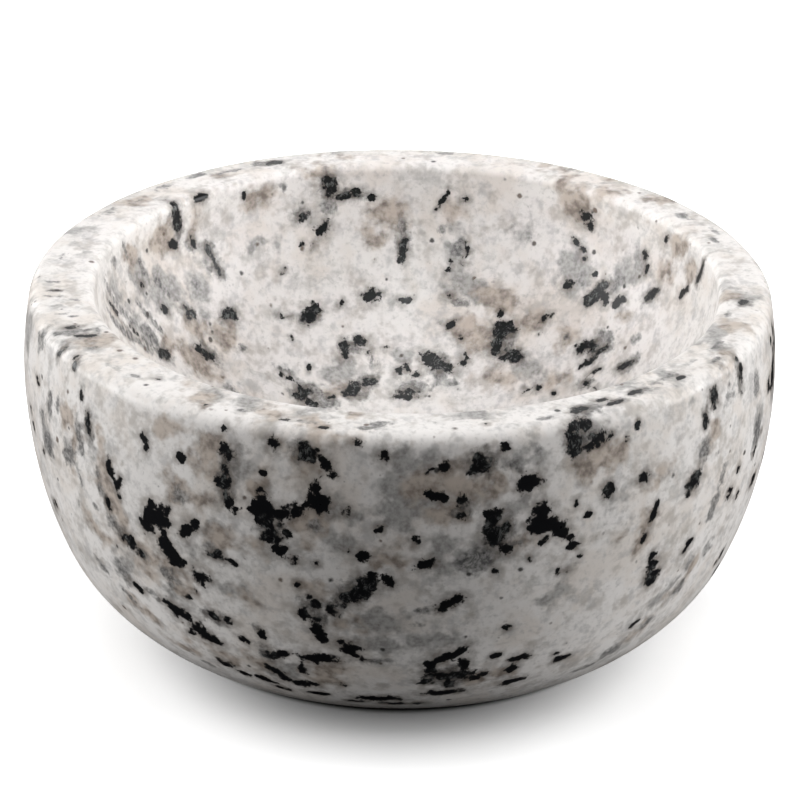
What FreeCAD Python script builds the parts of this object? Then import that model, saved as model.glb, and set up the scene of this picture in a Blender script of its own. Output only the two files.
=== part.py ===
import FreeCAD, Part
import math
import os
from Sketcher import Constraint

# A shaving bowl turned from one block of granite. It is a thick-walled round vessel with a full
# belly, a flat rim with softened edges, a round hollow and a flat ground foot.
# The origin is the centre of the foot, +Z is the turning axis and points up, sizes in millimetres.

NODE = "granite_bowl"

# Driving dimensions. Every one can be set by itself.
driving_sizes = {
    "bowl_height": 56.0,         # foot to the top of the rim
    "belly_radius": 60.0,        # half the largest diameter
    "belly_height": 41.5,        # where the largest diameter lies, above the foot
    "side_arc_radius": 70.0,     # the long flat curve of the side, seen in section
    "heel_height": 16.6,         # where the side curve passes into the rounder lower curve
    "foot_inset": 22.0,          # how far the flat ground on the underside lies inside the belly
    "foot_edge_radius": 3.0,     # easing of the foot's edge
    "rim_wall": 9.3,             # thickness of the wall at the rim
    "outer_lip_radius": 2.3,     # easing of the rim's outer edge
    "inner_lip_radius": 1.5,     # easing of the rim's inner edge
    "floor_thickness": 13.0,     # stone under the lowest point of the hollow
    "wall_arc_radius": 30.0,     # the hollow's tighter curve, from the mouth down
}

START, END, CENTRE = 1, 2, 3
ORIGIN = (-1, 1)
VERTICAL_AXIS = -2

document = FreeCAD.newDocument("shaving_bowl")

sheet = document.addObject("Spreadsheet::Sheet", "sizes")
for row, (alias, value) in enumerate(driving_sizes.items(), start=1):
    sheet.set(f"A{row}", alias)
    sheet.set(f"B{row}", str(value))
    sheet.setAlias(f"B{row}", alias)
document.recompute()


def point(x, z):
    """A point of a half section: x is the distance from the turning axis, z the height."""
    return FreeCAD.Vector(x, z, 0)


def line(start, end):
    """A straight side of a half section."""
    return Part.LineSegment(start, end)


def arc(centre, start, end):
    """The arc about a centre that runs anticlockwise from start to end."""
    circle = Part.Circle(centre, FreeCAD.Vector(0, 0, 1), (start - centre).Length)
    return Part.ArcOfCircle(circle, circle.parameter(start), circle.parameter(end))


def new_sketch(body, name):
    """An empty sketch on the body's own upright plane, so its vertical axis is the turning axis."""
    sketch = body.newObject("Sketcher::SketchObject", name)
    planes = [item for item in body.Origin.OriginFeatures if item.Role == "XZ_Plane"]
    sketch.AttachmentSupport = [(planes[0], "")]
    sketch.MapMode = "FlatFace"
    document.recompute()
    return sketch


def bind(sketch, name, constraint, expression):
    """Add a dimension to a sketch and tie it to the sheet."""
    index = sketch.addConstraint(constraint)
    sketch.renameConstraint(index, name)
    sketch.setExpression(f"Constraints.{name}", expression)


def draw_outer_profile(sketch):
    """Half section of the solid blank: foot, lower curve, side curve, lip, rim and axis."""
    top, side_radius = sheet.bowl_height, sheet.side_arc_radius
    foot = sheet.belly_radius - sheet.foot_inset
    foot_edge, lip = sheet.foot_edge_radius, sheet.outer_lip_radius
    side_centre = point(sheet.belly_radius - side_radius, sheet.belly_height)

    # The lip's centre lies a lip radius below the rim and inside the side curve.
    lip_rise = top - lip - side_centre.y
    lip_centre = point(side_centre.x + math.sqrt((side_radius - lip) ** 2 - lip_rise ** 2), top - lip)
    lip_start = lip_centre + (lip_centre - side_centre).normalize() * lip

    # The lower curve is tangent to the side curve at the heel and to the eased edge of the foot.
    heel_angle = math.asin((sheet.heel_height - side_centre.y) / side_radius)
    outward = point(math.cos(heel_angle), math.sin(heel_angle))
    heel = side_centre + outward * side_radius
    edge_centre = point(foot, foot_edge)
    span = heel - edge_centre
    lower_radius = (span.dot(span) - foot_edge ** 2) / (2 * (outward.dot(span) - foot_edge))
    lower_centre = heel - outward * lower_radius
    edge_end = edge_centre + (edge_centre - lower_centre).normalize() * foot_edge

    foot_line, edge_arc, lower_arc, side_arc, lip_arc, rim_line, axis_line = sketch.addGeometry([
        line(point(0, 0), point(foot, 0)),
        arc(edge_centre, point(foot, 0), edge_end),
        arc(lower_centre, edge_end, heel),
        arc(side_centre, heel, lip_start),
        arc(lip_centre, lip_start, point(lip_centre.x, top)),
        line(point(lip_centre.x, top), point(0, top)),
        line(point(0, top), point(0, 0)),
    ], False)
    sketch.addConstraint([
        Constraint("Coincident", foot_line, START, *ORIGIN),
        Constraint("Tangent", foot_line, END, edge_arc, START),
        Constraint("Tangent", edge_arc, END, lower_arc, START),
        Constraint("Tangent", lower_arc, END, side_arc, START),
        Constraint("Tangent", side_arc, END, lip_arc, START),
        Constraint("Tangent", lip_arc, END, rim_line, START),
        Constraint("Coincident", rim_line, END, axis_line, START),
        Constraint("Coincident", axis_line, END, *ORIGIN),
        Constraint("Horizontal", foot_line),
        Constraint("Horizontal", rim_line),
        Constraint("Vertical", axis_line),
    ])
    bind(sketch, "top", Constraint("DistanceY", *ORIGIN, axis_line, START, top),
         "sizes.bowl_height")
    bind(sketch, "foot", Constraint("DistanceX", *ORIGIN, foot_line, END, foot),
         "sizes.belly_radius - sizes.foot_inset")
    bind(sketch, "foot_edge", Constraint("Radius", edge_arc, foot_edge),
         "sizes.foot_edge_radius")
    bind(sketch, "heel", Constraint("DistanceY", *ORIGIN, lower_arc, END, heel.y),
         "sizes.heel_height")
    bind(sketch, "side_radius", Constraint("Radius", side_arc, side_radius),
         "sizes.side_arc_radius")
    bind(sketch, "side_offset", Constraint("DistanceX", *ORIGIN, side_arc, CENTRE, side_centre.x),
         "sizes.belly_radius - sizes.side_arc_radius")
    bind(sketch, "belly", Constraint("DistanceY", *ORIGIN, side_arc, CENTRE, side_centre.y),
         "sizes.belly_height")
    bind(sketch, "lip", Constraint("Radius", lip_arc, lip),
         "sizes.outer_lip_radius")

    # Where the lip's centre lies follows from the rest. It is measured for the hollow to use.
    measured = sketch.addConstraint(
        Constraint("DistanceX", *ORIGIN, lip_arc, CENTRE, lip_centre.x))
    sketch.setDriving(measured, False)
    sketch.renameConstraint(measured, "lip_offset")


def draw_hollow_profile(sketch, mouth):
    """Half section of the hollow: rim level, inner lip, wall curve, floor curve and axis."""
    top, floor = sheet.bowl_height, sheet.floor_thickness
    lip, wall_radius = sheet.inner_lip_radius, sheet.wall_arc_radius
    depth = top - floor

    # The wall curve is upright where it meets the rim level, and the floor curve is tangent to it.
    wall_centre = point(mouth - wall_radius, top)
    floor_radius = (wall_centre.x ** 2 + depth ** 2 - wall_radius ** 2) / (2 * (depth - wall_radius))
    floor_centre = point(0, floor + floor_radius)
    meet = wall_centre + (wall_centre - floor_centre).normalize() * wall_radius

    # The lip curves the other way, so its centre lies in the stone, outside the wall curve.
    lip_centre = point(wall_centre.x + math.sqrt((wall_radius + lip) ** 2 - lip ** 2), top - lip)
    lip_end = lip_centre + (wall_centre - lip_centre).normalize() * lip

    rim_line, lip_arc, wall_arc, floor_arc, axis_line = sketch.addGeometry([
        line(point(0, top), point(lip_centre.x, top)),
        arc(lip_centre, point(lip_centre.x, top), lip_end),
        arc(wall_centre, meet, lip_end),
        arc(floor_centre, point(0, floor), meet),
        line(point(0, floor), point(0, top)),
    ], False)
    sketch.addConstraint([
        Constraint("Coincident", axis_line, END, rim_line, START),
        Constraint("Tangent", rim_line, END, lip_arc, START),
        Constraint("Tangent", lip_arc, END, wall_arc, END),
        Constraint("Tangent", wall_arc, START, floor_arc, END),
        Constraint("Coincident", floor_arc, START, axis_line, START),
        Constraint("PointOnObject", floor_arc, CENTRE, VERTICAL_AXIS),
        Constraint("PointOnObject", axis_line, START, VERTICAL_AXIS),
        Constraint("Horizontal", rim_line),
        Constraint("Vertical", axis_line),
    ])
    bind(sketch, "floor", Constraint("DistanceY", *ORIGIN, axis_line, START, floor),
         "sizes.floor_thickness")
    bind(sketch, "top", Constraint("DistanceY", *ORIGIN, axis_line, END, top),
         "sizes.bowl_height")
    bind(sketch, "lip", Constraint("Radius", lip_arc, lip),
         "sizes.inner_lip_radius")
    bind(sketch, "wall_radius", Constraint("Radius", wall_arc, wall_radius),
         "sizes.wall_arc_radius")
    bind(sketch, "wall_level", Constraint("DistanceY", *ORIGIN, wall_arc, CENTRE, top),
         "sizes.bowl_height")
    bind(sketch, "wall_offset", Constraint("DistanceX", *ORIGIN, wall_arc, CENTRE, wall_centre.x),
         "outer_profile.Constraints.lip_offset"
         " + (sizes.outer_lip_radius - sizes.rim_wall - sizes.wall_arc_radius) * 1 mm")


def turn(body, kind, name, sketch):
    """Revolve a half section right round the axis: a Revolution adds, a Groove cuts."""
    feature = body.newObject(kind, name)
    feature.Profile = sketch
    feature.ReferenceAxis = (sketch, ["V_Axis"])
    feature.Angle = 360.0
    document.recompute()
    return feature


body = document.addObject("PartDesign::Body", NODE)
body.Label = NODE
body.Placement = FreeCAD.Placement()

outer_profile = new_sketch(body, "outer_profile")
draw_outer_profile(outer_profile)
document.recompute()
blank = turn(body, "PartDesign::Revolution", "turned_blank", outer_profile)

mouth_radius = outer_profile.getDatum("lip_offset").Value + sheet.outer_lip_radius - sheet.rim_wall
hollow_profile = new_sketch(body, "hollow_profile")
draw_hollow_profile(hollow_profile, mouth_radius)
document.recompute()
hollow = turn(body, "PartDesign::Groove", "turned_hollow", hollow_profile)
body.Tip = hollow
document.recompute()

# The hollow has to have been cut: it holds about as much as half an ellipsoid of its size.
removed = blank.Shape.Volume - hollow.Shape.Volume
half_ellipsoid = 2 / 3 * math.pi * mouth_radius ** 2 * (sheet.bowl_height - sheet.floor_thickness)
volume_tolerance = 0.15
if abs(removed - half_ellipsoid) > volume_tolerance * half_ellipsoid:
    raise RuntimeError(f"the hollow took away {removed:.0f} mm3, not about {half_ellipsoid:.0f}")

for item in document.Objects:
    failed = {"Invalid", "Error"} & set(item.State)
    if failed:
        raise RuntimeError(f"{item.Label} is {', '.join(sorted(failed))}")
if body.Shape.isNull() or not body.Shape.isValid() or len(body.Shape.Solids) != 1:
    raise RuntimeError(f"{NODE} is not one valid solid")

os.makedirs("parts", exist_ok=True)
body.Shape.exportStep(f"parts/{body.Label}.step")

box = body.Shape.optimalBoundingBox()
print(f"{NODE}: {box.XLength:.2f} x {box.YLength:.2f} x {box.ZLength:.2f} mm,"
      f" from z {box.ZMin:.3f} mm, volume {body.Shape.Volume / 1000:.1f} cm3,"
      f" hollow {removed / 1000:.1f} cm3, mouth radius {mouth_radius:.2f} mm")
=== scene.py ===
import math
import random

import bmesh
import bpy
from mathutils import Matrix, Vector, noise
from mathutils.bvhtree import BVHTree
from mathutils.kdtree import KDTree


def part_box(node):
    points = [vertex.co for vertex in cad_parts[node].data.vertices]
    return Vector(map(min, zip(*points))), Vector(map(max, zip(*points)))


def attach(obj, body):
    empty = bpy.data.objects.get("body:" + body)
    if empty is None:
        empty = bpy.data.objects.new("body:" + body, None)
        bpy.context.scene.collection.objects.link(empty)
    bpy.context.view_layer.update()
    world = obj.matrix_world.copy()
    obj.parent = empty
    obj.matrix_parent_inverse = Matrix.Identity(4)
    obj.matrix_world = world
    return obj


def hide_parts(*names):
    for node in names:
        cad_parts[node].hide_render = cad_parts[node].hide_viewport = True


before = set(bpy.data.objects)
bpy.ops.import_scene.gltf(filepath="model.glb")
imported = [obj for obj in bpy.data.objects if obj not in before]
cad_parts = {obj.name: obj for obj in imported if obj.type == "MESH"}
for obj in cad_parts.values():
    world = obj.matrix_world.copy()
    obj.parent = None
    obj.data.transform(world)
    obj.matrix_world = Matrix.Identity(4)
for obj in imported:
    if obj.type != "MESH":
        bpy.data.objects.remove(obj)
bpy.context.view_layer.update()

# ---------------------------------------------------------------------------------------------
# The bowl. One block of speckled granite, turned on a lathe to a full belly with a flat rim,
# hollowed to a round floor, polished to a satin sheen by hand and ground flat under the foot.
# ---------------------------------------------------------------------------------------------

mm = 0.001
bowl_low, bowl_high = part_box("granite_bowl")
belly = (bowl_high[0] - bowl_low[0]) / 2
rim_level = bowl_high[2]

foot_radius = belly - 22 * mm
foot_edge = 3 * mm
heel_height = 16.6 * mm
belly_height = 41.5 * mm
side_curve = 70 * mm
outer_lip = 2.3 * mm
rim_wall = 9.3 * mm
inner_lip = 1.5 * mm
wall_curve = 30 * mm
floor_level = 13 * mm

around = 480


class Section:
    """Half a section of turned work, drawn from the axis outwards by spinning its last point.
    The heading is the way the outline runs: 0 is outwards, a quarter turn is up."""

    def __init__(self, start):
        self.mesh = bmesh.new()
        self.tip = self.mesh.verts.new(start)
        self.heading = 0.0

    def straight(self, length, steps):
        """Run on in a straight line."""
        step = Vector((math.cos(self.heading), 0, math.sin(self.heading))) * (length / steps)
        for _ in range(steps):
            made = bmesh.ops.extrude_vert_indiv(self.mesh, verts=[self.tip])
            self.tip = made["verts"][0]
            self.tip.co += step

    def curve(self, radius, heading, steps):
        """Bend in an arc until the outline runs along a new heading, either way round."""
        turn = heading - self.heading
        side = math.copysign(radius, turn)
        to_centre = Vector((-math.sin(self.heading), 0, math.cos(self.heading))) * side
        made = bmesh.ops.spin(self.mesh, geom=[self.tip], cent=self.tip.co + to_centre,
                              axis=(0, -1, 0), angle=turn, steps=steps, use_duplicate=False)
        self.tip = next(item for item in made["geom_last"] if isinstance(item, bmesh.types.BMVert))
        self.heading = heading


# Headings where one curve passes into the next, from the sizes above.
side_middle = belly - side_curve
heel_dip = math.asin((heel_height - belly_height) / side_curve)
lip_rise = math.asin((rim_level - outer_lip - belly_height) / (side_curve - outer_lip))
heel = Vector((side_middle + side_curve * math.cos(heel_dip), heel_height))
edge_to_heel = heel - Vector((foot_radius, foot_edge))
out_of_heel = Vector((math.cos(heel_dip), math.sin(heel_dip)))
lower_curve = ((edge_to_heel.length_squared - foot_edge ** 2)
               / (2 * (edge_to_heel.dot(out_of_heel) - foot_edge)))
lower_middle = heel - out_of_heel * lower_curve
foot_slope = math.atan2(foot_radius - lower_middle.x, lower_middle.y - foot_edge)
lip_middle = side_middle + (side_curve - outer_lip) * math.cos(lip_rise)
mouth = lip_middle + outer_lip - rim_wall
wall_middle = mouth - wall_curve
inner_lip_middle = wall_middle + math.sqrt((wall_curve + inner_lip) ** 2 - inner_lip ** 2)
lip_turn = math.acos(inner_lip / (wall_curve + inner_lip))
depth = rim_level - floor_level
floor_curve = (wall_middle ** 2 + depth ** 2 - wall_curve ** 2) / (2 * (depth - wall_curve))
wall_end = math.atan2(wall_middle, floor_level + floor_curve - rim_level)

half_turn = math.pi
section = Section((0, 0, 0))
section.straight(foot_radius, 16)
section.curve(foot_edge, foot_slope, 3)
section.curve(lower_curve, half_turn / 2 + heel_dip, 34)
section.curve(side_curve, half_turn / 2 + lip_rise, 52)
section.curve(outer_lip, half_turn, 8)
section.straight(lip_middle - inner_lip_middle, 8)
section.curve(inner_lip, half_turn + lip_turn, 7)
section.curve(wall_curve, half_turn + wall_end, 18)
section.curve(floor_curve, half_turn, 56)

turned = section.mesh
bmesh.ops.spin(turned, geom=turned.verts[:] + turned.edges[:], cent=(0, 0, 0), axis=(0, 0, 1),
               angle=2 * half_turn, steps=around, use_merge=True, use_duplicate=False)
bmesh.ops.remove_doubles(turned, verts=turned.verts, dist=0.005 * mm)
bmesh.ops.recalc_face_normals(turned, faces=turned.faces)

# The hollow was turned on its own, a little to one side, and hand grinding left a faint swell,
# which fades out towards the foot, so that the foot stays flat.
hollow_shift = 1.0 * mm
swell_depth = 0.16 * mm
swell_size = 17 * mm
rim_flat = lip_middle - inner_lip_middle
for point in turned.verts:
    reach = point.co.xy.length
    inward = min(1.0, max(0.0, (lip_middle - reach) / rim_flat))
    in_hollow = point.co.z > floor_level - mm and reach < mouth + 2 * mm
    on_rim = point.co.z > rim_level - 0.1 * mm
    rise = min(1.0, point.co.z / heel_height)
    swell = noise.noise(point.co / swell_size) * swell_depth * rise * rise * (3 - 2 * rise)
    if reach > mm:
        point.co += Vector((point.co.x, point.co.y, 0)) / reach * swell
    if in_hollow or on_rim:
        point.co.x += inward * hollow_shift

stone_mesh = bpy.data.meshes.new("stone_bowl")
turned.to_mesh(stone_mesh)
surface = BVHTree.FromBMesh(turned)
turned.free()
stone_mesh.shade_smooth()
stone_bowl = bpy.data.objects.new("stone_bowl", stone_mesh)
bpy.context.collection.objects.link(stone_bowl)

# Where the minerals lie. Each cluster: the way it faces in degrees round from the front towards
# the right, its height (or its distance from the middle, on the rim, floor and foot), its length
# and width, and how far its length leans up from level. The sizes are in millimetres.
outside_mica = [
    (-36.4, 37.4, 5, 3.6, 0), (-37.4, 39.2, 2, 1.4, 90), (-34.8, 39.2, 2.2, 1.8, 100),
    (-38.2, 35.4, 2.8, 2.6, 0), (-35, 32.6, 5.2, 3, 110), (-33.6, 31.2, 3.8, 2.2, 110),
    (-31, 37, 4.2, 1.8, 45), (-29.8, 38.4, 1.8, 1.4, 0), (-29.4, 29.2, 2.8, 2.4, 140),
    (-32, 48.5, 1.7, 1.3, 0), (-38.5, 49, 3.2, 1.3, 110), (-45.6, 42.4, 3.6, 1.5, 110),
    (-44, 39.2, 3.4, 1.2, 105), (-43.6, 40.8, 2, 1.3, 60), (-24.5, 51.2, 2.3, 2, 0),
    (-24.6, 48.2, 2.6, 1.6, 90), (-24.8, 46.4, 2.8, 1.6, 25), (-24.2, 43.8, 4.2, 1.7, 115),
    (-25.3, 54.4, 1.2, 1.1, 0), (-17.8, 53.7, 2.1, 1.9, 0), (-19, 49, 1.2, 1.1, 0),
    (-12.6, 52.6, 3.6, 2.6, 140), (-10.4, 51.6, 2.8, 2, 130), (-9, 50, 1.5, 1.2, 0),
    (-11.2, 45.5, 4, 3, 0), (-11.6, 47.5, 2.6, 1.5, 90), (-10.2, 44.8, 2.4, 1.8, 90),
    (-14, 43.9, 2.4, 1.9, 0), (-19, 43.2, 4, 3.8, 0), (-19.2, 45.8, 1.9, 1.6, 0),
    (-16.6, 43, 4.4, 1.9, 0), (-17.8, 38.8, 3.2, 3, 0), (-18.6, 41.2, 3.4, 1.5, 150),
    (-16, 40.3, 3.4, 1.2, 150), (-17, 37.2, 2.4, 2, 0), (-14.7, 36, 2.5, 1.4, 140),
    (-15.8, 37.4, 2.4, 0.9, 125), (-11.4, 35.6, 1.2, 1.1, 0), (-14.2, 31.4, 1.3, 1.1, 0),
    (-2, 53, 2, 1.8, 0), (-6, 55, 1.6, 1.2, 0), (-7, 44.4, 1.5, 1.3, 0), (-2.5, 42, 1.3, 1.2, 0),
    (-4.6, 37.4, 1.7, 1.5, 0), (-7, 38.3, 1.2, 1, 0), (-4.6, 32.2, 5.2, 3.2, 55),
    (-6.4, 30.2, 4.6, 2.6, 25), (-3.6, 34, 2, 1.6, 60), (-1, 33.3, 2.6, 1.6, 120),
    (-12, 28.4, 3, 1.7, 130), (-9.2, 27.2, 2.7, 1.7, 120), (-13.5, 26, 2.8, 1.4, 130),
    (-11.6, 23.6, 4.2, 2, 100), (-11, 21.6, 2, 1.2, 90), (-7, 20.2, 3.5, 3, 0),
    (-5.6, 18.6, 2.4, 1.2, 140), (-8.4, 21.2, 1.6, 1.4, 0), (-11.5, 17.4, 6.4, 1.8, 5),
    (-14.8, 14.4, 2.8, 1.4, 90), (-15.3, 10.8, 5.2, 1.8, 5), (-13.4, 8.2, 3.4, 1.2, 0),
    (-3, 8.2, 7, 2.2, 5), (-0.6, 6.4, 4, 1.4, 0), (-7.4, 6.6, 3, 1.2, 0),
    (-19.6, 16.6, 2.8, 2, 120), (-17.5, 17.4, 2, 1.2, 20), (-19.8, 13, 4, 1.7, 150),
    (-18.4, 11, 2.6, 1.4, 150), (-22.4, 9.8, 4, 1.5, 160), (-20, 8, 3, 1.2, 160),
    (-28.4, 22.2, 2.3, 1.6, 150), (-26, 21.8, 2.2, 1.2, 110), (-24, 18.6, 2.3, 1.3, 130),
    (-35.6, 20.6, 5.4, 2.4, 160), (-32.4, 18.8, 2.8, 2.2, 0), (-30.4, 17, 4.6, 2, 155),
    (-33.8, 16.8, 2, 1.3, 40), (-29, 11.6, 3.4, 1.7, 155), (-26.6, 10, 2.6, 1, 155),
    (-42.8, 31, 4, 2.4, 150), (-40.8, 29.4, 2, 1.4, 150), (-27.5, 33.8, 1.7, 1.4, 0),
    (-25.6, 34, 2.6, 1.5, 150), (-23.8, 33.4, 1.8, 1, 150), (-32.5, 30.6, 1.3, 1, 0),
    (-32.6, 24.4, 1.4, 1.2, 0), (-31, 26, 1.1, 1, 0), (-43.5, 22, 3.2, 1.4, 150),
    (-20.6, 20.6, 2.2, 1.3, 110), (-8.5, 11.8, 1.2, 1, 0), (-46.6, 36, 2.4, 1, 110),
    (6.4, 51.2, 1.9, 1.6, 0), (4.2, 51, 1.8, 1, 30), (11.2, 51.8, 2.6, 2.4, 0),
    (10.4, 50.9, 1.8, 1.6, 0), (12.4, 51.1, 1.8, 1.5, 0), (14.7, 53.7, 1.5, 1.3, 0),
    (18.4, 48.1, 4.2, 2.4, 20), (8.7, 46, 2.2, 1.9, 0), (8.8, 43.8, 1.7, 1.4, 0),
    (5.3, 47, 4, 1.4, 155), (13.2, 43.4, 3.2, 2.6, 90), (13.6, 41, 3.8, 2.6, 0),
    (13.4, 39.2, 2.2, 1.8, 0), (15, 41.8, 1.6, 1.4, 0), (15, 37.8, 2.7, 1.6, 10),
    (20.2, 43.2, 3.2, 3, 90), (20.2, 41, 4.4, 3.4, 0), (22.6, 40.2, 4, 2.2, 150),
    (24.6, 38.2, 2.8, 1, 145), (20.7, 38.4, 2, 1.1, 40), (25.4, 36.5, 2.4, 1.1, 15),
    (26.6, 34.5, 1.3, 1.1, 0), (25.2, 52.6, 4.8, 2.1, 105), (26.6, 55.2, 3.2, 2, 0),
    (29.3, 52.8, 2.7, 2.5, 0), (31.4, 53, 1.5, 1, 0), (27.6, 51.8, 2.2, 1, 0),
    (36, 53.4, 1.5, 0.9, 90), (34, 51.6, 1.2, 0.9, 90), (36.8, 44.7, 2.4, 1.8, 40),
    (30.5, 44.4, 2.8, 1.6, 75), (27.5, 41.1, 1.6, 1, 0), (25.4, 43.4, 1.8, 0.9, 90),
    (2.7, 40, 1.7, 1.3, 90), (3.8, 36.1, 3.1, 1.6, 28), (13.8, 34.4, 1.4, 1.3, 0),
    (18.6, 35.6, 1, 1, 0), (24.9, 32.5, 1.4, 1.2, 0), (23.2, 32.6, 1.3, 1, 90),
    (7.8, 29.6, 4.2, 1.6, 25), (6.6, 28.4, 2.4, 1.6, 40), (16.4, 23.4, 1.3, 1.1, 0),
    (10.8, 21, 1.3, 1.1, 0), (7.4, 18.4, 7, 2, 28), (5.4, 16.4, 3.4, 1.5, 55),
    (8.4, 14.4, 7.8, 1.9, 0), (10.4, 16.6, 3.4, 1.4, 105), (8.4, 12.4, 3, 1.6, 90),
    (7.8, 10, 6.4, 1.7, 0), (4.6, 13.2, 2.4, 1.3, 25), (12, 13.3, 2, 1.3, 0),
    (13.8, 14, 2, 1.3, 10), (15.3, 17.9, 2, 1, 10), (19.2, 16.6, 3.7, 1.3, 5),
    (18.2, 14.4, 2, 1.7, 0), (19.4, 11, 4.6, 1.5, 10), (27, 14.5, 3.2, 1.2, 15),
    (25.6, 16, 1.2, 0.9, 0), (0.5, 6.8, 1.6, 1, 0), (4, 6.4, 3, 1, 0), (40.4, 28.4, 3.4, 2.2, 100),
    (41, 26, 3.6, 2.8, 60), (39.8, 30.4, 2, 1.2, 90), (37.8, 34.3, 2, 1.1, 65),
    (39.2, 38.3, 4.2, 1.1, 65), (40.5, 17, 2, 1, 30), (47.2, 40.5, 4, 2.4, 60),
    (48, 29, 3, 1.5, 60), (69, 31, 2.6, 2.2, 0), (73, 46, 2.4, 1.8, 60),
    (52.5, 52.4, 3.4, 2.2, 90), (50, 49.8, 3.2, 1.3, 90), (60.5, 52.8, 5.4, 1.1, 90),
    (-51, 47.6, 4, 1.5, 105), (-53, 51.2, 2.6, 0.8, 100), (-61, 55.3, 3, 1.1, 90),
    (-56.4, 55.2, 2.6, 0.9, 60),
]
inside_mica = [
    (-129, 53.4, 5.6, 1.8, 90), (-136, 55.2, 3.4, 1.4, 0), (-146.5, 53.5, 1.6, 0.8, 80),
    (-171, 51.4, 2, 1.6, 0), (-168, 50.6, 3, 1.2, 0), (-174, 50.2, 1.6, 1.2, 0),
    (-164.8, 53.4, 2.6, 2, 90), (-163.7, 45.8, 3.2, 2.2, 60), (-160.5, 42.8, 1.4, 1, 60),
    (-158.3, 43.5, 1.2, 1, 0), (-153, 40, 1.7, 1, 20), (-127, 49, 2.4, 1.3, 150),
    (-114, 46, 1.7, 1.1, 150), (-118, 40.6, 2.6, 1.4, 120), (-125, 38.4, 3.6, 1.6, 130),
    (-136, 35.6, 3, 2.4, 0), (-110, 35.6, 3, 1.6, 150), (-150, 33.6, 4, 0.8, 170),
    (-157.5, 32.6, 3, 1.6, 30), (-150.5, 30.3, 1, 0.9, 0), (-173, 34.8, 3, 2.6, 0),
    (-165.5, 34, 2.3, 0.8, 50), (-180, 33.8, 2.2, 0.9, 10), (-164.5, 27.6, 3, 2, 80),
    (-169, 28.6, 3, 1.6, 0), (-171.5, 27.2, 1.6, 1.2, 0), (-176, 27.5, 1.3, 0.8, 0),
    (-152.5, 26, 1.8, 0.9, 50), (179.5, 41.5, 4.6, 1.6, 90), (171.5, 50, 4.4, 0.8, 60),
    (167, 50.3, 1.7, 1.2, 0), (168.8, 40, 1.2, 0.9, 0), (166.8, 40, 1.1, 0.9, 0),
    (165.6, 42.4, 2.6, 0.8, 100), (169.5, 38.4, 1, 0.8, 0), (168.5, 34.8, 1.9, 1.3, 0),
    (178.8, 34, 2.8, 1.1, 10), (159, 34.5, 0.9, 0.8, 0), (155, 33.5, 1.3, 1, 90),
    (166, 31.8, 0.9, 0.8, 0), (167, 30.8, 1.9, 1.2, 30), (163.5, 29, 1, 0.8, 0),
    (153, 31.3, 4.6, 3, 20), (153.8, 29, 3.4, 2.4, 90), (149, 28, 4.6, 2, 10),
    (161.5, 26.4, 2.6, 1.6, 90), (170.8, 25.8, 3.8, 1.8, 0), (167.5, 25.4, 5.6, 1.8, 170),
    (177.5, 21.8, 4.6, 1.8, 0), (180, 24.6, 2, 1.6, 0), (143.5, 34.3, 2.9, 1.3, 40),
    (143.5, 32, 1, 0.8, 30), (140.6, 51.2, 2.6, 2.4, 90), (139.4, 50, 2.2, 1.1, 150),
    (142, 46.6, 2.4, 1, 150), (139.8, 45.7, 1.8, 1, 150), (139, 44.4, 1.4, 1.1, 0),
    (141, 39.6, 1.9, 1.6, 0), (135.5, 42.5, 1.3, 1, 0), (132.5, 41, 3, 2, 60),
    (133.5, 38.6, 3.4, 1.4, 50), (135.2, 38.7, 1.5, 1, 60), (126.5, 40.7, 2.6, 1.4, 30),
    (124, 48.5, 1.7, 1.2, 120), (122.5, 46.3, 2.4, 1, 80), (118.5, 43.6, 3.8, 1.5, 50),
    (118.5, 53.2, 1.7, 1.1, 60), (108.5, 47, 3.6, 1.2, 60), (129, 32.4, 4.2, 2.4, 50),
    (126, 30.8, 4, 1, 50), (124.5, 33, 3, 1, 50), (122.6, 30, 3, 0.9, 50), (114.5, 33, 4, 1.3, 50),
    (122.5, 28.3, 2, 1.3, 40), (118.5, 28.5, 1.6, 0.8, 20), (130, 25.5, 1, 0.9, 0),
    (103.5, 52.4, 5, 1, 70), (-165, 22.6, 3.4, 2.4, 30), (-170.5, 23.5, 2.6, 1.4, 0),
    (-146.5, 22.6, 4.4, 1.6, 130), (-136.6, 44.4, 6, 1.2, 105), (-132.6, 48.6, 2.6, 1.3, 105),
    (-165.6, 52.6, 3.2, 2.2, 90), (-159.6, 48, 2.4, 1.8, 0), (-157.6, 33.2, 3.6, 2.4, 30),
    (-123.4, 32.4, 4.8, 1.8, 130), (-148.5, 23.6, 3.4, 1.1, 140), (-144.6, 25.6, 3.4, 1, 135),
    (134, 39.6, 3.4, 1.4, 60), (131, 39.8, 3.2, 1.5, 130), (127.2, 39.6, 2.6, 1.4, 20),
    (171.4, 26.4, 3.6, 1.8, 0), (-99, 47, 5, 0.8, 118), (-104, 41, 4, 0.9, 120),
]
rim_mica = [
    (-63, 53.8, 3.6, 1, 75), (-67, 54.4, 3.6, 1.1, 85), (-82.5, 54.6, 2.2, 0.7, 80),
    (80.5, 54.4, 2.4, 1.5, 0), (34, 56, 3, 0.9, 0), (48, 56, 2, 0.8, 0), (-30, 56, 0.9, 0.8, 0),
    (-156, 54.6, 3.4, 1.6, 0), (-17, 55.6, 1.6, 1.1, 0), (-11, 56.6, 1.5, 0.9, 0),
    (28, 55.4, 3.4, 1.6, 10), (33, 54.2, 2.4, 1.2, 0), (39, 54.8, 3.2, 1, 0),
    (13, 55.4, 1, 0.8, 0), (-42, 53.2, 1.2, 0.8, 0),
]
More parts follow.
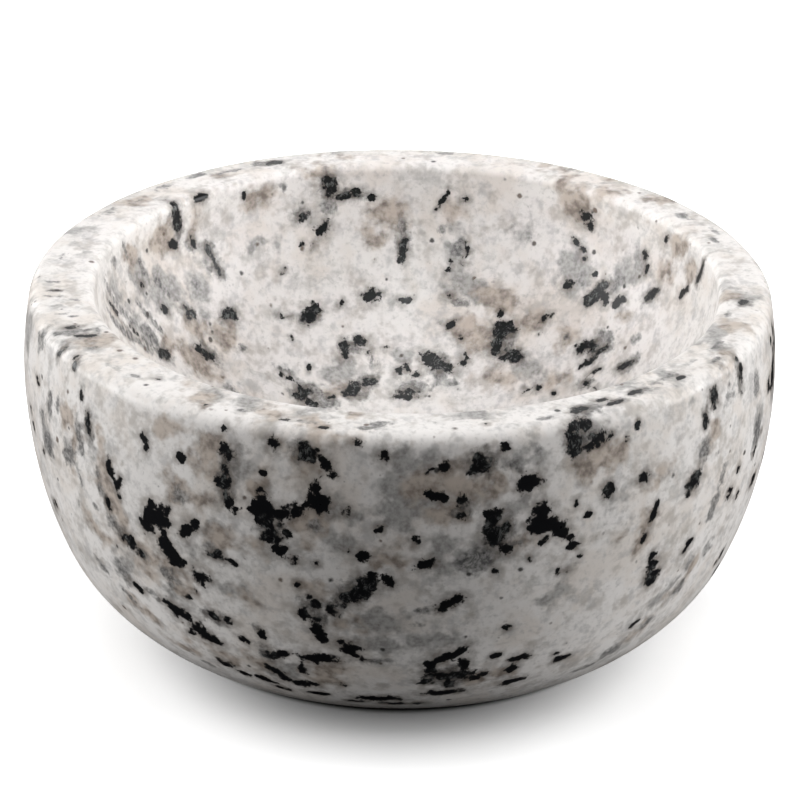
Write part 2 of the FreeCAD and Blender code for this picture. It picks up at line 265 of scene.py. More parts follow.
outside_smoky = [
    (-32, 42.5, 3.4, 2.6, 110), (-69, 54, 4.4, 3, 90), (-63, 45.5, 6, 2.2, 95),
    (-64, 38.8, 5, 4.4, 100), (-66, 42, 4, 2.4, 90), (-56, 40.2, 5, 3.6, 60),
    (-60, 47.5, 3, 1.6, 90), (-46, 23.4, 5, 3.6, 130), (-26.7, 22, 2.4, 2, 0),
    (-21.6, 22, 2, 1.3, 110), (28.3, 53.8, 3.4, 2.6, 0), (30.4, 45, 3, 1.8, 80),
    (11, 36.4, 7, 4.4, 20), (41, 26.4, 4.6, 2.6, 100), (38, 11.4, 4.4, 1.6, 20),
    (56.5, 51, 3.6, 2.2, 90), (66, 49, 5, 3.2, 90), (67, 40.4, 6, 4, 80), (47, 40.6, 4.4, 3, 60),
    (53.4, 34, 6, 2.6, 75), (19.8, 53, 1.4, 1.2, 0), (-9.4, 27.6, 4, 2.6, 120),
    (14, 41, 5.6, 5, 0), (-6, 31.2, 8, 4.6, 40), (-24.6, 47, 9, 2.8, 92), (-11.4, 41.8, 2.4, 2, 0),
    (-18, 40.6, 4, 4.6, 90), (-28.6, 21.6, 5, 2.4, 150), (-20.6, 17, 4, 3, 120),
    (-44.6, 32, 6.4, 3.2, 150), (-40, 29.6, 4, 1.6, 150), (-35.4, 27, 5, 2.4, 120),
    (-12, 27, 7, 3, 120), (11.6, 51.6, 5, 4.4, 0), (16, 51, 3.4, 2, 0), (8.8, 44.6, 3, 3.4, 90),
    (9.8, 35.6, 3, 1.8, 0), (16.8, 38.8, 3, 1.6, 0), (-3, 17.8, 6, 1.4, 0), (8, 14, 8, 6, 0),
    (26, 53.4, 5, 5, 0), (-26.4, 34, 5.4, 2.4, 150), (-13.4, 53, 4.4, 3, 140),
    (-53, 44, 7, 2, 105), (-48, 38, 7, 1.8, 110), (-46, 24.4, 4, 2.2, 140), (4, 27.8, 3, 1.6, 0),
    (-17.8, 40, 5, 4.4, 0), (3, 25.3, 2, 1, 0), (50, 25, 3, 2, 40), (-40, 22, 5, 1.4, 150),
    (-61, 55.3, 3.4, 2, 90), (-56, 55.4, 2.8, 1.9, 60), (-53, 52, 3.2, 1.2, 100),
    (-51, 47.8, 4.4, 2.2, 105), (-50, 46.4, 2.6, 1.1, 110), (-57, 40.2, 4.6, 3.2, 60),
    (-53.6, 38, 4, 1.1, 110), (-50, 34, 1.5, 1.1, 0), (-55, 33, 2.2, 1, 120),
    (52.5, 52.4, 3.8, 2.8, 90), (50, 50, 3.8, 1.8, 90), (49.5, 45, 4.6, 2.6, 90),
    (60, 52.6, 6.4, 2, 90), (55.5, 55.4, 1.4, 1.2, 0), (53, 43, 1.4, 1.2, 0), (55, 38.6, 4, 2, 80),
    (53, 33.8, 5, 2, 75), (56.5, 46.5, 1.4, 1.1, 90), (38, 12, 5, 2.6, 25), (44, 15.6, 4, 2.2, 35),
    (49, 20.6, 4, 2.4, 30), (55, 26, 3.4, 2.6, 40), (34, 9.6, 5, 1.4, 15), (-52, 22, 5, 1.6, 140),
    (-47, 19, 4, 1.4, 145), (-34, 9.6, 3, 1.2, 160),
]
inside_smoky = [
    (-165, 53, 5, 3.6, 90), (-165, 49.4, 3.6, 3, 0), (-170, 50.8, 6, 2, 0),
    (-159, 48.5, 3, 2.8, 0), (-131, 48, 3, 1.8, 100), (-136, 46, 3, 1.8, 100),
    (-136, 43, 4.6, 2, 110), (-130, 42, 3, 1.8, 90), (-105, 53, 3, 1.8, 110),
    (-110.5, 53, 4, 1.1, 110), (-125, 38.4, 5, 2.8, 130), (-136, 35.6, 4, 3.2, 0),
    (-125, 32, 5, 3, 130), (-124.5, 27, 3, 1.8, 140), (-104, 43.4, 9, 1.8, 120),
    (-109, 39, 6, 2.4, 110), (-110, 35.6, 5, 2.4, 130), (-157, 32.8, 5, 2.6, 10),
    (-166.5, 28, 5.6, 3, 0), (-172.5, 25.8, 4, 1.4, 120), (-145, 26.5, 5, 1.4, 140),
    (-146.5, 22.8, 6.4, 3, 130), (-154, 21.6, 4.6, 3, 0), (-165, 22.4, 5, 4, 0),
    (-170.5, 23.6, 3.6, 2.6, 0), (-135, 31, 3, 1.4, 150), (-155.5, 53.4, 1.8, 1.2, 90),
    (171, 45, 1.8, 1.5, 0), (167.5, 42, 4.4, 3.4, 100), (165.5, 34.2, 3.8, 1.8, 0),
    (158.5, 38, 1.4, 1.2, 0), (152.5, 30, 6.6, 5, 120), (149, 28.2, 6.4, 3.2, 0),
    (175.5, 22.6, 6.4, 3.2, 0), (163.5, 23.6, 2.8, 1.6, 0), (138, 41, 2.4, 2, 0),
    (129, 42.5, 3.4, 3, 0), (133, 40, 5.6, 3.4, 60), (118.5, 43.6, 4.8, 2.6, 50),
    (103.5, 52.4, 6.4, 1.8, 70), (117, 36.6, 2.8, 1.8, 40), (125.5, 33.6, 7, 5, 50),
    (114, 33.4, 5.6, 2.8, 50), (122.5, 28.4, 4, 2, 30), (136, 32.4, 2, 1.1, 90),
    (152.5, 45.3, 1.2, 0.9, 0), (179.5, 43, 8, 2.4, 90), (-129, 52.6, 6.6, 2.6, 90),
    (-100, 49, 8, 1.2, 115), (-98, 44, 10, 1.2, 120), (-103, 40, 10, 1.4, 120),
    (-108, 37, 8, 1.6, 125), (-112, 41, 9, 1.4, 115), (-137, 44, 9, 2.2, 105),
    (-150, 23.4, 7, 3.6, 140), (-116, 48, 6, 1.2, 110), (-120, 44, 6, 1.2, 115),
]
rim_smoky = [
    (-65, 54, 8, 3, 80), (-86, 54.8, 3, 1, 75), (-82.5, 54.6, 3.2, 1.2, 80),
    (-97, 54.6, 3, 1.2, 0), (-118, 55.4, 4.4, 1.2, 0), (-125, 54, 3.6, 1, 0),
    (-133, 55.4, 4, 1.4, 0), (-141, 55.8, 5, 1.6, 0), (-147, 54.4, 4.6, 1.4, 0),
    (-155, 55, 6, 2.6, 0), (172, 56, 3.4, 1.2, 0), (148, 56.2, 4, 1.2, 0), (120, 54.2, 4, 1.8, 0),
    (112, 55.6, 3, 1, 0), (108, 54, 3, 1, 0), (80.5, 54.6, 4, 2.6, 0), (75, 52.6, 3, 1, 0),
    (62, 54.4, 5, 1, 0), (54, 54, 4, 0.9, 0), (-3, 54, 4, 1.4, 20), (-6, 56, 3, 1, 0),
    (35, 55.6, 4, 1.4, 0), (-45, 55, 2.4, 0.9, 0), (57, 56.6, 3, 1, 0), (-3.5, 55.4, 5, 2, 15),
    (29, 55.8, 6, 3, 10), (40, 55, 5, 1.8, 0), (-14, 55.4, 4, 1.4, 0), (46, 54.4, 6, 1.4, 0),
    (-50, 55.4, 4, 1.2, 0), (-24, 55, 3, 1.2, 0), (22, 56, 3, 1.2, 0), (-80, 55, 3, 0.9, 80),
    (-78, 51.8, 2.4, 0.9, 60), (-73, 55, 3, 0.8, 80), (-71, 52.6, 2.4, 0.7, 85),
    (-58, 54.4, 2, 0.8, 70),
]
outside_quartz = [
    (-21, 51, 4, 3.4, 0), (-18, 14, 5.4, 4, 20), (-3, 21, 6, 4, 0), (15, 51.6, 3.6, 3, 0),
    (11, 36.6, 9, 6, 0), (1, 46, 10, 8, 0), (-3, 26, 9, 5, 0), (5, 22, 8, 4, 0), (16, 45, 6, 5, 0),
    (-7, 40, 6, 5, 0), (22, 28, 7, 5, 0), (-24, 28, 6, 4, 0), (28.6, 54, 4, 3, 0),
    (-64, 40, 7, 6, 90), (67, 42, 9, 5, 90), (47, 22, 9, 3, 40), (-46, 27, 7, 4, 130),
    (18, 52.6, 4, 3, 0), (33, 42, 5, 4, 0), (-8, 44.6, 6, 4.4, 0), (2, 52, 6, 5, 0),
    (6, 39.6, 6, 5, 0), (-26, 37.4, 5, 5, 90), (-35, 26, 6, 4.4, 110), (-22, 50, 5, 6, 90),
    (11, 47, 6, 5, 0), (8, 35.6, 7, 3.4, 0), (-31, 33.6, 5, 4, 90), (-50, 44, 9, 3, 105),
]
inside_quartz = [
    (-130, 37.6, 3.4, 3.2, 0), (166, 37.6, 7, 6, 0), (142, 42, 6, 6, 0), (126, 47, 6, 6, 60),
    (129, 43, 5, 5, 0), (170, 31, 5, 3.4, 0), (179, 27, 5, 4, 0), (167.5, 43, 4.4, 4.6, 0),
    (-114, 47, 8, 6, 110), (-122, 44, 8, 5, 110), (-150, 45, 5, 4, 0), (-107, 40, 9, 3, 120),
    (155, 46, 4, 4, 0), (143, 27, 8, 5, 0), (-135, 47, 5, 4, 100), (-160, 25, 7, 4, 0),
    (-113, 47, 10, 5, 110), (-118, 42, 9, 5, 115), (-105, 46, 10, 3, 115), (141, 42, 8, 8, 0),
    (127, 45, 10, 6, 60), (163, 36, 6, 5, 0), (-131, 40, 7, 4, 105),
]
outside_tan = [
    (-28, 48, 6, 5, 100), (-15, 52, 4.4, 4, 0), (-24, 38, 4.4, 4, 0), (-12, 41.4, 6, 5, 0),
    (-12.5, 31.6, 6, 3.4, 0), (-23, 27, 3.4, 3, 0), (-11, 12.6, 6, 3, 0), (-34, 15, 4, 3, 0),
    (-8, 55.4, 4, 2, 0), (8, 51, 4.4, 3, 0), (11, 48, 5.4, 4, 0), (28, 49, 7, 4, 20),
    (17, 38.6, 5, 3, 0), (17, 13.6, 4.4, 2.4, 0), (36.5, 36, 6, 2.4, 70), (-44, 34, 8, 5, 110),
    (-48, 40, 6, 4, 110), (-40, 27, 5, 3.4, 120), (-57, 47, 6, 4, 100), (58, 55, 5, 3, 0),
    (-9.5, 15.4, 5, 2.4, 0), (52, 47, 4, 4, 90), (40, 44, 5, 4, 60), (-33, 25, 4, 4, 100),
    (-34.5, 52.6, 4, 4.4, 90), (-26.6, 49.6, 8, 4, 95), (-28, 43, 5, 4, 90), (-33, 43.6, 5, 4, 90),
    (-14.4, 49, 4, 6, 90), (-11.4, 42, 7, 5, 0), (-21, 37.6, 4, 5, 90), (-25.6, 37.6, 5, 5, 90),
    (-8, 25.4, 3.4, 5, 90), (-40, 29.6, 5, 4, 140), (-35, 28, 6, 4, 110), (-28, 13.6, 6, 3, 160),
    (-12, 14, 6, 4, 0), (-22, 14, 5, 3, 150), (2.6, 49, 5, 7, 90), (8.4, 49.6, 4, 4, 0),
    (12.8, 47, 5, 4, 0), (16.8, 38.6, 4, 3, 0), (30.4, 49.6, 8, 5, 0), (37.4, 35.6, 7, 3, 65),
    (7, 44, 5, 4, 0), (12.4, 12.8, 5, 3, 0), (-1, 37, 5, 4, 0), (-20, 46.6, 4, 4, 0),
    (-55, 44, 10, 3, 102), (-48, 45, 8, 2.4, 105), (-51, 30, 7, 2.6, 130), (33.4, 36, 3, 2.4, 60),
    (42, 14, 7, 2.4, 30), (50, 22, 8, 2, 45), (-44, 17, 7, 2.4, 150), (-38, 12, 6, 2, 155),
]
inside_tan = [
    (180, 48.6, 3.4, 3.4, 0), (168, 48, 3.6, 3.4, 0), (143, 53, 5.4, 5, 90), (113, 53.4, 6, 4, 30),
    (157.5, 35.6, 8, 5, 0), (163, 31, 6, 4.4, 0), (147, 33, 7, 5, 0), (136.5, 33, 4.4, 4.4, 0),
    (123, 38.6, 3.6, 3, 0), (-177, 47, 6, 8, 90), (-175, 43.4, 6, 4, 0), (-150, 52.6, 9, 4, 0),
    (-124, 51, 5, 6, 90), (-113, 36, 5, 5, 90), (-118, 31, 9, 3, 130), (-132, 33.4, 5, 4, 0),
    (-133, 50, 3, 5, 90), (-158, 23, 5, 3, 0), (116, 48, 4, 5, 90), (108, 51, 5, 4, 60),
    (-150, 23.6, 5, 3, 0), (-100, 44, 9, 3, 110), (130, 27, 6, 3, 20), (-162, 55, 6, 3, 0),
    (-118, 33, 9, 5, 130), (-125, 36, 6, 4, 110), (-134, 52, 6, 4, 90), (-112, 51, 5, 4, 100),
    (160, 30, 8, 6, 0), (150, 25, 7, 4, 0),
]

clusters = {"mica": [], "smoky": [], "quartz": [], "tan": []}
for kind, side, group in (("mica", "outside", outside_mica), ("mica", "inside", inside_mica),
                          ("mica", "rim", rim_mica), ("smoky", "outside", outside_smoky),
                          ("smoky", "inside", inside_smoky), ("smoky", "rim", rim_smoky),
                          ("quartz", "outside", outside_quartz),
                          ("quartz", "inside", inside_quartz),
                          ("tan", "outside", outside_tan), ("tan", "inside", inside_tan)):
    for cluster in group:
        clusters[kind].append((side,) + cluster)

# The same minerals lie at random, and about as thickly, on the sides that aren't set out above.
# A few more lie on the rim and at the left and right ends of the outside.
chance = random.Random(28)


def strew(kind, side, faces, places, count, lengths, widths, huddle=1):
    """Add clusters of one mineral at random over part of a side, some of them huddled."""
    for _ in range(count):
        facing = chance.uniform(*faces)
        where = chance.uniform(*places)
        for _ in range(chance.randint(1, huddle)):
            long = chance.uniform(*lengths)
            wide = min(long, chance.uniform(*widths))
            clusters[kind].append((side, facing, where, long, wide, chance.uniform(0, 180)))
            facing += chance.uniform(-3.5, 3.5)
            where = min(places[1], max(places[0], where + chance.uniform(-3, 3)))


back_half = (76, 284)
front_half = (-88, 88)
all_round = (0, 360)
strew("quartz", "rim", all_round, (51, 57), 18, (3, 7), (1.5, 4))
strew("tan", "rim", all_round, (51, 57), 22, (3, 7), (1.5, 4))
for side, faces, places, share in (("outside", back_half, (5, 54), 1.0),
                                   ("inside", front_half, (19, 54), 0.42),
                                   ("floor", all_round, (2, 34), 0.28),
                                   ("foot", all_round, (2, 37), 0.5)):
    strew("mica", side, faces, places, round(46 * share), (2.4, 5.4), (1.4, 3.6), 4)
    strew("mica", side, faces, places, round(80 * share), (1, 2.2), (0.8, 1.5), 3)
    strew("smoky", side, faces, places, round(34 * share), (2.5, 7), (1.5, 4), 2)
    strew("quartz", side, faces, places, round(34 * share), (4, 9), (3, 6), 2)
    strew("tan", side, faces, places, round(34 * share), (4, 9), (3, 6), 2)
strew("mica", "outside", (60, 78), (8, 50), 9, (1.2, 2.6), (0.9, 1.8), 2)
strew("mica", "outside", (-78, -62), (8, 50), 6, (1, 2.2), (0.8, 1.5), 2)

# Each corner of the mesh holds how far inside a cluster of each mineral it lies, in millimetres.
# A narrow cluster gets a steeper edge, or its ragged outline would wear it away.
corners = KDTree(len(stone_mesh.vertices))
for corner in stone_mesh.vertices:
    corners.insert(corner.co, corner.index)
corners.balance()

upwards = Vector((0, 0, 1))
well_clear = 100 * mm
below_foot = 10 * mm
edge_reach = 3.0
other_face = 4.0
steepest = 2.4
full_width = 2.2
for kind, group in clusters.items():
    depth_in = [-edge_reach] * len(stone_mesh.vertices)
    for side, facing, where, long, wide, lean in group:
        out = Vector((math.sin(math.radians(facing)), -math.cos(math.radians(facing)), 0))
        if side == "outside":
            hit = surface.ray_cast(out * well_clear + upwards * where * mm, -out)
        elif side == "inside":
            hit = surface.ray_cast(upwards * where * mm, out)
        elif side == "foot":
            hit = surface.ray_cast(out * where * mm - upwards * below_foot, upwards)
        else:
            hit = surface.ray_cast(out * where * mm + upwards * well_clear, -upwards)
        middle, normal = hit[0], hit[1]
        level_way = Vector((-out.y, out.x, 0))
        up_way = level_way.cross(normal)
        if up_way.dot(upwards) + up_way.dot(out) < 0:
            up_way = -up_way
        lean = math.radians(lean)
        if side != "outside":
            lean = -lean
        long_way = level_way * math.cos(lean) + up_way * math.sin(lean)
        wide_way = up_way * math.cos(lean) - level_way * math.sin(lean)
        half_long, half_wide = long / 2, wide / 2
        steepness = min(steepest, max(1.0, full_width / wide))
        for corner_at, index, _ in corners.find_range(middle, (half_long + edge_reach) * mm):
            away = (corner_at - middle) / mm
            if away.dot(normal) < -other_face:
                continue
            u = away.dot(long_way)
            v = away.dot(wide_way)
            outward = math.hypot(u / half_long, v / half_wide)
            slope = math.hypot(u / half_long ** 2, v / half_wide ** 2)
            inside = half_wide if slope < 0.01 else outward * (1 - outward) / slope
            depth_in[index] = max(depth_in[index], min(inside * steepness, edge_reach))
    field = stone_mesh.attributes.new(kind, "FLOAT", "POINT")
    field.data.foreach_set("value", depth_in)


class Pattern:
    """A value in a node tree. Arithmetic on it makes Math nodes, and every other node comes from
    its node method."""

    def __init__(self, tree, socket=None):
        self.tree = tree
        self.socket = socket

    def node(self, kind, settings, sockets, out=0):
        """Add a node: its settings first, then the values or links of its sockets."""
        made = self.tree.nodes.new("ShaderNode" + kind)
        for name, value in settings.items():
            setattr(made, name, value)
        for name, value in sockets.items():
            if isinstance(value, Pattern):
                self.tree.links.new(value.socket, made.inputs[name])
            else:
                made.inputs[name].default_value = value
        return Pattern(self.tree, made.outputs[out])

    def maths(self, operation, first, second):
        """Add a Math node on two values."""
        return self.node("Math", {"operation": operation}, {0: first, 1: second})

    def __add__(self, other):
        return self.maths("ADD", self, other)

    def __radd__(self, other):
        return self.maths("ADD", other, self)

    def __sub__(self, other):
        return self.maths("SUBTRACT", self, other)

    def __rsub__(self, other):
        return self.maths("SUBTRACT", other, self)

    def __mul__(self, other):
        return self.maths("MULTIPLY", self, other)

    def __rmul__(self, other):
        return self.maths("MULTIPLY", other, self)


granite = bpy.data.materials.new("granite")
granite.use_nodes = True
granite_nodes = granite.node_tree
polish = granite_nodes.nodes["Principled BSDF"]
stone = Pattern(granite_nodes)

in_metres = stone.node("TexCoord", {}, {}, "Object")
place = stone.node("VectorMath", {"operation": "SCALE"}, {0: in_metres, "Scale": 1 / mm})


def mottle(size, detail, shift, at=place):
    """Cloudy variation about nothing, with clouds of a size in millimetres. The shifts keep one
    mottle from following another."""
    moved = stone.node("VectorMath", {"operation": "ADD"}, {0: at, 1: (shift, shift, shift)})
    cloud = stone.node("TexNoise", {}, {"Vector": moved, "Scale": 1 / size, "Detail": detail})
    return cloud - 0.5


def between(value, low, high):
    """Nothing below low, all above high, and smooth between."""
    return stone.node("MapRange", {"interpolation_type": "SMOOTHSTEP"},
                      {"Value": value, "From Min": low, "From Max": high})


def mixed(share, first, second):
    """Two colours mixed by a share of the second. A Mix node's colours are sockets 6 and 7."""
    return stone.node("Mix", {"data_type": "RGBA"}, {0: share, 6: first, 7: second}, 2)


def lies(kind):
    """How far inside a cluster of a mineral a place is, in millimetres."""
    return stone.node("Attribute", {"attribute_name": kind}, {}, "Fac")


def crystals(size, out, shift=0.0):
    """Rounded cells of a size in millimetres: how far out in a cell, or a colour for each."""
    moved = stone.node("VectorMath", {"operation": "ADD"}, {0: place, 1: (shift, shift, shift)})
    return stone.node("TexVoronoi", {}, {"Vector": moved, "Scale": 1 / size}, out)


# The ground of the stone: white feldspar in large crystals and small shards, each its own shade,
# cloudy inside and thinly outlined, with warmer, browner and greyer clouds drifting through it.
milk = (0.76, 0.735, 0.715, 1)
ash = (0.53, 0.515, 0.495, 1)
warm_white = (0.66, 0.60, 0.545, 1)
vein_grey = (0.40, 0.385, 0.37, 1)
dull_brown = (0.37, 0.335, 0.30, 1)
haze_grey = (0.40, 0.39, 0.385, 1)
plate_size = 7
shard_size = 2.6
drift_way = (7, 7, 7)
drift = stone.node("TexNoise", {}, {"Vector": place, "Scale": 0.3, "Detail": 3}, "Color")
bent_place = stone.node("VectorMath", {"operation": "MULTIPLY_ADD"},
                        {0: drift, 1: drift_way, 2: place})
plates = stone.node("TexVoronoi", {}, {"Vector": bent_place, "Scale": 1 / plate_size}, "Color")
plate_shade = stone.node("SeparateColor", {}, {0: plates}, 0)
shards = stone.node("TexVoronoi", {}, {"Vector": bent_place, "Scale": 1 / shard_size}, "Color")
shard_shade = stone.node("SeparateColor", {}, {0: shards}, 1)
outlines = stone.node("TexVoronoi", {"feature": "DISTANCE_TO_EDGE"},
                      {"Vector": bent_place, "Scale": 1 / plate_size}, "Distance")
fine = mottle(0.7, 4, 80)
cloud = mottle(5, 4, 0) + 0.7 * mottle(1.8, 4, 40)
cloudy = between(cloud + 0.24 * plate_shade + 0.15 * shard_shade + 0.4 * fine, 0.16, 0.62)
ground = mixed(cloudy, milk, ash)
warmth = between(mottle(11, 4, 170) + 0.5 * mottle(3, 3, 175), -0.06, 0.20)
ground = mixed(warmth * 0.6, ground, warm_white)
veins = (0.30 * (1 - between(outlines, 0.0, 0.05)) * between(cloud, -0.1, 0.3)
         + 0.55 * between(fine, 0.04, 0.34))
ground = mixed(veins, ground, vein_grey)
veil = between(mottle(4.2, 4, 150) + 0.55 * mottle(1.3, 4, 160), -0.02, 0.26)
ground = mixed(veil * 0.62, ground, dull_brown)
haze = between(mottle(3.1, 5, 180) + 0.5 * mottle(0.9, 4, 185), 0.0, 0.24)
ground = mixed(haze * 0.55, ground, haze_grey)

# Grey quartz and tan feldspar, in soft ragged patches that are grainy inside.
pale_quartz = (0.40, 0.39, 0.38, 1)
deep_quartz = (0.17, 0.163, 0.157, 1)
quartz_edge = 0.65 * lies("quartz") + 5.5 * mottle(2.4, 5, 10) + 5.0 * mottle(5.5, 3, 15)
quartz = between(quartz_edge, -0.5, 1.15)
quartz_grain = between(mottle(0.7, 3, 20) + 0.7 * mottle(1.7, 3, 25), -0.25, 0.25)
ground = mixed(quartz * 0.8, ground, mixed(quartz_grain, pale_quartz, deep_quartz))
pale_tan = (0.49, 0.425, 0.37, 1)
deep_tan = (0.155, 0.124, 0.103, 1)
tan_edge = 0.72 * lies("tan") + 5.5 * mottle(2.4, 5, 30) + 5.0 * mottle(5.5, 3, 35)
tan = between(tan_edge, -0.8, 1.2)
tan_grain = between(mottle(1.2, 3, 50) + 0.9 * mottle(2.6, 3, 55), -0.22, 0.32)
ground = mixed(tan * 0.92, ground, mixed(tan_grain, pale_tan, deep_tan))

# Dark grey smoky grains, partly clear and streaked along their cleavage, and a brown shadow
# round the black mica.
deep_smoky = (0.05, 0.05, 0.052, 1)
pale_smoky = (0.34, 0.33, 0.32, 1)
mica_shadow = (0.13, 0.108, 0.09, 1)
grain_size = 1.7
cleavage = (1.6, 1.6, 0.6)
grains = crystals(grain_size, "Distance")
along = stone.node("VectorMath", {"operation": "MULTIPLY"}, {0: bent_place, 1: cleavage})
streaks = mottle(0.7, 4, 0, along)
wander = mottle(2.3, 2, 190)
smoky_edge = lies("smoky") + 0.35 - 1.0 * grains + 3.2 * mottle(1.1, 4, 60) + 2.0 * wander
smoky = between(smoky_edge + 1.6 * streaks, -0.7, 0.75)
smoky_grain = between(mottle(0.8, 3, 70) + 0.8 * streaks, -0.22, 0.26)
ground = mixed(smoky * 0.85, ground, mixed(smoky_grain, deep_smoky, pale_smoky))
shadow = between(lies("mica") + 4.5 * mottle(1.5, 4, 90), -2.2, 1.2)
ground = mixed(shadow * 0.74, ground, mica_shadow)

# Black mica: small rounded crystals run together, with stray ones at the edges of a cluster and
# grey flecks in it where it lies over smoky grains.
mica_edge = lies("mica") + 0.55 - 1.0 * grains + 2.2 * mottle(1.0, 2.5, 100) + 1.8 * wander
mica = between(mica_edge + 1.4 * streaks, -0.24, 0.28)
flecks = (between(0.7 * mottle(1.1, 3, 110) + 0.8 * streaks, 0.0, 0.22)
          * between(lies("smoky"), -0.4, 0.8))
mica_black = mixed(0.01 + 0.7 * flecks, (0.005, 0.005, 0.006, 1), (0.16, 0.165, 0.16, 1))

# Lone specks, each its own size; some are black and some a rusty brown.
speck_size = 2.5
speck_shift = 7
speck_tints = crystals(speck_size, "Color", speck_shift)
tint = stone.node("SeparateColor", {}, {0: speck_tints}, 0)
rust = stone.node("SeparateColor", {}, {0: speck_tints}, 1)
from_speck = speck_size * crystals(speck_size, "Distance", speck_shift)
speck = between(1.6 * tint - 1.10 - from_speck + 0.5 * mottle(0.7, 2, 120), -0.16, 0.22)
speck_black = (0.02, 0.019, 0.018, 1)
speck_rust = (0.13, 0.095, 0.075, 1)
speck_colour = mixed(between(rust, 0.45, 0.75), speck_black, speck_rust)
ground = mixed(speck * 0.9, ground, speck_colour)
stone_colour = mixed(mica, ground, mica_black)

# Satin polish, matt where the foot is ground flat, and faint rings left by the wheel inside.
flat_place = stone.node("VectorMath", {"operation": "MULTIPLY"}, {0: place, 1: (1, 1, 0)})
radius = stone.node("VectorMath", {"operation": "LENGTH"}, {0: flat_place}, "Value")
height = stone.node("SeparateXYZ", {}, {0: place}, 2)
ring_place = stone.node("CombineXYZ", {}, {0: radius, 1: height})
rings = mottle(0.35, 2, 0, ring_place) * between(mottle(14, 2, 130), -0.05, 0.2)
gloss = 0.36 + 0.12 * mottle(1.2, 3, 140) + 0.1 * rings - 0.06 * mica
gloss = gloss + 0.3 * (1 - between(height, 0.2, 0.7))
relief = 0.6 * fine + 0.5 * rings - 0.25 * mica
bump = stone.node("Bump", {}, {"Height": relief, "Strength": 0.25, "Distance": 0.00012})

granite_nodes.links.new(stone_colour.socket, polish.inputs["Base Color"])
granite_nodes.links.new(gloss.socket, polish.inputs["Roughness"])
granite_nodes.links.new(bump.socket, polish.inputs["Normal"])
polish.inputs["Specular IOR Level"].default_value = 0.2
stone_mesh.materials.append(granite)

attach(stone_bowl, "root")
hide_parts("granite_bowl")

# ---------------------------------------------------------------------------------------------
# The studio: a plain white table with a soft glow of its own, wide soft lights overhead, at both
# sides and behind, a small one close above, a gridded one for the hollow, and a camera that looks
# down on the bowl from the front.
# ---------------------------------------------------------------------------------------------

table_size = 6
below_bowl = 0.1 * mm
bpy.ops.mesh.primitive_plane_add(size=table_size, location=(0, 0, -below_bowl))
table = bpy.context.object
table.name = "table"
table.visible_glossy = False
white_table = bpy.data.materials.new("white_table")
white_table.use_nodes = True
table_nodes = white_table.node_tree
table_nodes.nodes.remove(table_nodes.nodes["Principled BSDF"])
paper = Pattern(table_nodes)
spot = paper.node("TexCoord", {}, {}, "Object")
from_bowl = paper.node("VectorMath", {"operation": "LENGTH"}, {0: spot}, "Value")


def beyond(value, low, high):
    """Nothing nearer the middle than low, all beyond high."""
    return paper.node("MapRange", {"interpolation_type": "SMOOTHSTEP"},
                      {"Value": value, "From Min": low, "From Max": high})


def tone(share, first, second):
    """Two greys mixed by a share of the second."""
    return paper.node("Mix", {"data_type": "RGBA"},
                      {0: share, 6: (first, first, first, 1), 7: (second, second, second, 1)}, 2)


# The table glows, seen only by the bowl, in place of the light it throws back up at the bowl;
# the glow is dark close to the bowl, painted shade for the bowl's shadow, and fades far away.
near_glow = tone(beyond(from_bowl, 0.045, 0.07), 0, 0.38)
near_bounce = paper.node("Emission", {}, {"Color": near_glow})
far_bounce = paper.node("Emission", {}, {"Color": (0.06, 0.06, 0.06, 1)})
bounce_fade = beyond(from_bowl, 0.08, 0.14)
bounce = paper.node("MixShader", {}, {0: bounce_fade, 1: near_bounce, 2: far_bounce})

# What is seen of it: white paper, lifted by a painted glow to full white clear of the bowl's
# shadow, so the shadow's outline, narrower across than it is deep, is painted; and a nearly black
# painted shadow in the crack under the edge of the foot.
white = paper.node("BsdfDiffuse", {}, {"Color": (0.95, 0.95, 0.95, 1)})
# A painted shadow: a nearly black ring on the table in the crack under the edge of the foot.
painted_crack_shadow = paper.node("BsdfDiffuse", {}, {"Color": (0.01, 0.01, 0.01, 1)})
clear_of_painted_crack_shadow = beyond(from_bowl, foot_radius + 0.5 * foot_edge, foot_radius + 1.1 * foot_edge)
lit = paper.node("MixShader", {}, {0: clear_of_painted_crack_shadow, 1: painted_crack_shadow, 2: white})
shadow_shape = (1.35, 1, 1)
broad = paper.node("VectorMath", {"operation": "MULTIPLY"}, {0: spot, 1: shadow_shape})
from_shadow = paper.node("VectorMath", {"operation": "LENGTH"}, {0: broad}, "Value")
# A painted glow: the table glows up to white beyond an oval round the bowl, painting where its
# shadow ends.
near_white = tone(beyond(from_shadow, 0.043, 0.062), 0, 0.42)
near_lift = paper.node("Emission", {}, {"Color": near_white})
far_lift = paper.node("Emission", {}, {"Color": (1, 1, 1, 1)})
lift = paper.node("MixShader", {}, {0: beyond(from_bowl, 0.16, 0.5), 1: near_lift, 2: far_lift})
bright = paper.node("AddShader", {}, {0: lit, 1: lift})
seen = paper.node("LightPath", {}, {}, "Is Camera Ray")
surface_look = paper.node("MixShader", {}, {0: seen, 1: bounce, 2: bright})
table_nodes.links.new(surface_look.socket, table_nodes.nodes["Material Output"].inputs["Surface"])
table.data.materials.append(white_table)


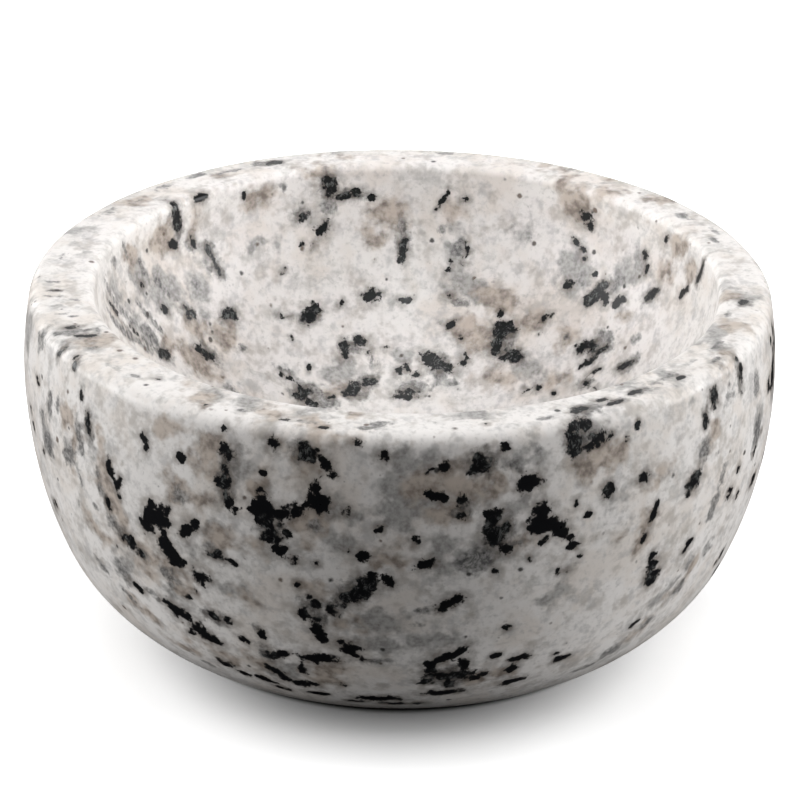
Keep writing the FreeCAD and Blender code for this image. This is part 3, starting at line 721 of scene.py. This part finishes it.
def softbox(name, place, aim, width, height, power, spread=180):
    """A rectangular soft light that points at a place, in metres and watts. Under 180 degrees, its
    spread is narrowed by a grid."""
    light = bpy.data.lights.new(name, "AREA")
    light.shape = "RECTANGLE"
    light.size = width
    light.size_y = height
    light.energy = power
    light.spread = math.radians(spread)
    lamp = bpy.data.objects.new(name, light)
    lamp.location = place
    lamp.rotation_euler = (Vector(aim) - Vector(place)).to_track_quat("-Z", "Y").to_euler()
    bpy.context.collection.objects.link(lamp)


softbox("overhead", (0, 0, 0.9), (0, 0, 0), 1.2, 1.2, 6.2)
softbox("close", (0, -0.02, 0.3), (0, 0.01, 0), 0.14, 0.14, 0.17)
softbox("left", (-0.85, 0, 0.2), (0, 0, 0), 0.8, 0.36, 8.0)
softbox("right", (0.85, 0, 0.2), (0, 0, 0), 0.8, 0.36, 8.6)
softbox("hollow", (0, -0.3, 0.36), (0, 0.04, 0.036), 0.1, 0.04, 0.0074, 14)
softbox("back", (0.1, 0.75, 0.45), (0, 0, 0), 0.9, 0.6, 1.5)
softbox("back_left", (-0.65, 0.65, 0.3), (0, 0, 0), 0.7, 0.6, 1.5)

# The room is white to the eye and throws no light.
studio = bpy.data.worlds.new("studio")
studio.use_nodes = True
bpy.context.scene.world = studio
room = Pattern(studio.node_tree)
backdrop = studio.node_tree.nodes["Background"]
room_seen = room.node("LightPath", {}, {}, "Is Camera Ray")
studio.node_tree.links.new(room_seen.socket, backdrop.inputs["Strength"])
backdrop.inputs["Color"].default_value = (1, 1, 1, 1)

# The camera has a long lens, stands half a metre away and is rolled by about half a degree.
camera_data = bpy.data.cameras.new("camera")
camera = bpy.data.objects.new("camera", camera_data)
bpy.context.collection.objects.link(camera)
camera_data.sensor_width = 36
camera_data.lens = 139.6
look_down = math.radians(25.2)
tilt = math.radians(0.59)
distance = 0.5023
aim = Vector((0.00013, 0, 0.03427))
camera.location = aim + Vector((0, -math.cos(look_down), math.sin(look_down))) * distance
level = Matrix.Rotation(half_turn / 2 - look_down, 3, "X")
camera.rotation_euler = (level @ Matrix.Rotation(tilt, 3, "Z")).to_euler()
bpy.context.scene.camera = camera
bpy.context.scene.view_settings.view_transform = "Standard"
